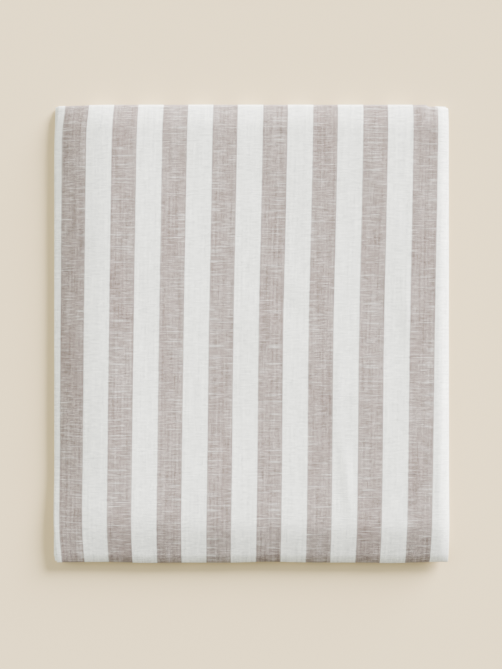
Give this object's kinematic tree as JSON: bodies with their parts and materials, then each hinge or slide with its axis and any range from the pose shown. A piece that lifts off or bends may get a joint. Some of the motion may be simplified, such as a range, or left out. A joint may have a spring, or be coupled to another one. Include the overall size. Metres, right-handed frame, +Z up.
{
  "type": "baby wrap sling",
  "caption": "Long striped plain-weave cloth baby wrap, folded flat into a neat rectangle for storage; the folded pack opens like a book about its front edge.",
  "frame": {"origin": "middle of the folded pack's footprint, on the surface it lies on", "axes": "+Z up through the pack's thickness, +Y along the stripes from the hinge fold to the rear edge, +X from the selvedges to the lengthwise crease"},
  "size_m": [0.332, 0.385, 0.0162],
  "materials": {
    "striped_cloth": "matt yarn-dyed plain weave, taupe and white stripes along the length",
    "thread": "matt spun sewing thread, off-white",
    "label_ribbon": "smooth white woven tape, blank",
    "marker_ribbon": "dark taupe woven tape"
  },
  "bodies": {
    "lower_half": {"half_fold_1": "striped_cloth", "half_fold_2": "striped_cloth", "half_fold_3": "striped_cloth", "half_fold_4": "striped_cloth", "half_fold_5": "striped_cloth", "half_fold_6": "striped_cloth", "lower_end_fold_inner": "striped_cloth", "lower_end_fold_outer": "striped_cloth", "lower_panel_1": "striped_cloth", "lower_panel_2": "striped_cloth", "lower_panel_3": "striped_cloth", "lower_panel_4": "striped_cloth", "lower_panel_5": "striped_cloth", "lower_panel_6": "striped_cloth", "middle_fold": "striped_cloth", "middle_marker_1": "marker_ribbon", "middle_marker_2": "marker_ribbon"},
    "upper_half": {"care_label": "label_ribbon", "care_label_thread": "thread", "end_hem_1": "striped_cloth", "end_hem_2": "striped_cloth", "end_hem_thread_1": "thread", "end_hem_thread_2": "thread", "upper_end_fold_inner": "striped_cloth", "upper_end_fold_outer": "striped_cloth", "upper_panel_1": "striped_cloth", "upper_panel_2": "striped_cloth", "upper_panel_3": "striped_cloth", "upper_panel_4": "striped_cloth", "upper_panel_5": "striped_cloth", "upper_panel_6": "striped_cloth"}
  },
  "joints": [
    {"name": "half_fold", "type": "hinge", "parent": "lower_half", "child": "upper_half", "pos_m": [0, -0.18441, 0.00809], "axis": [1, 0, 0], "range_deg": [0, 180], "deforming": ["half_fold_1", "half_fold_2", "half_fold_3", "half_fold_4", "half_fold_5", "half_fold_6"]}
  ]
}
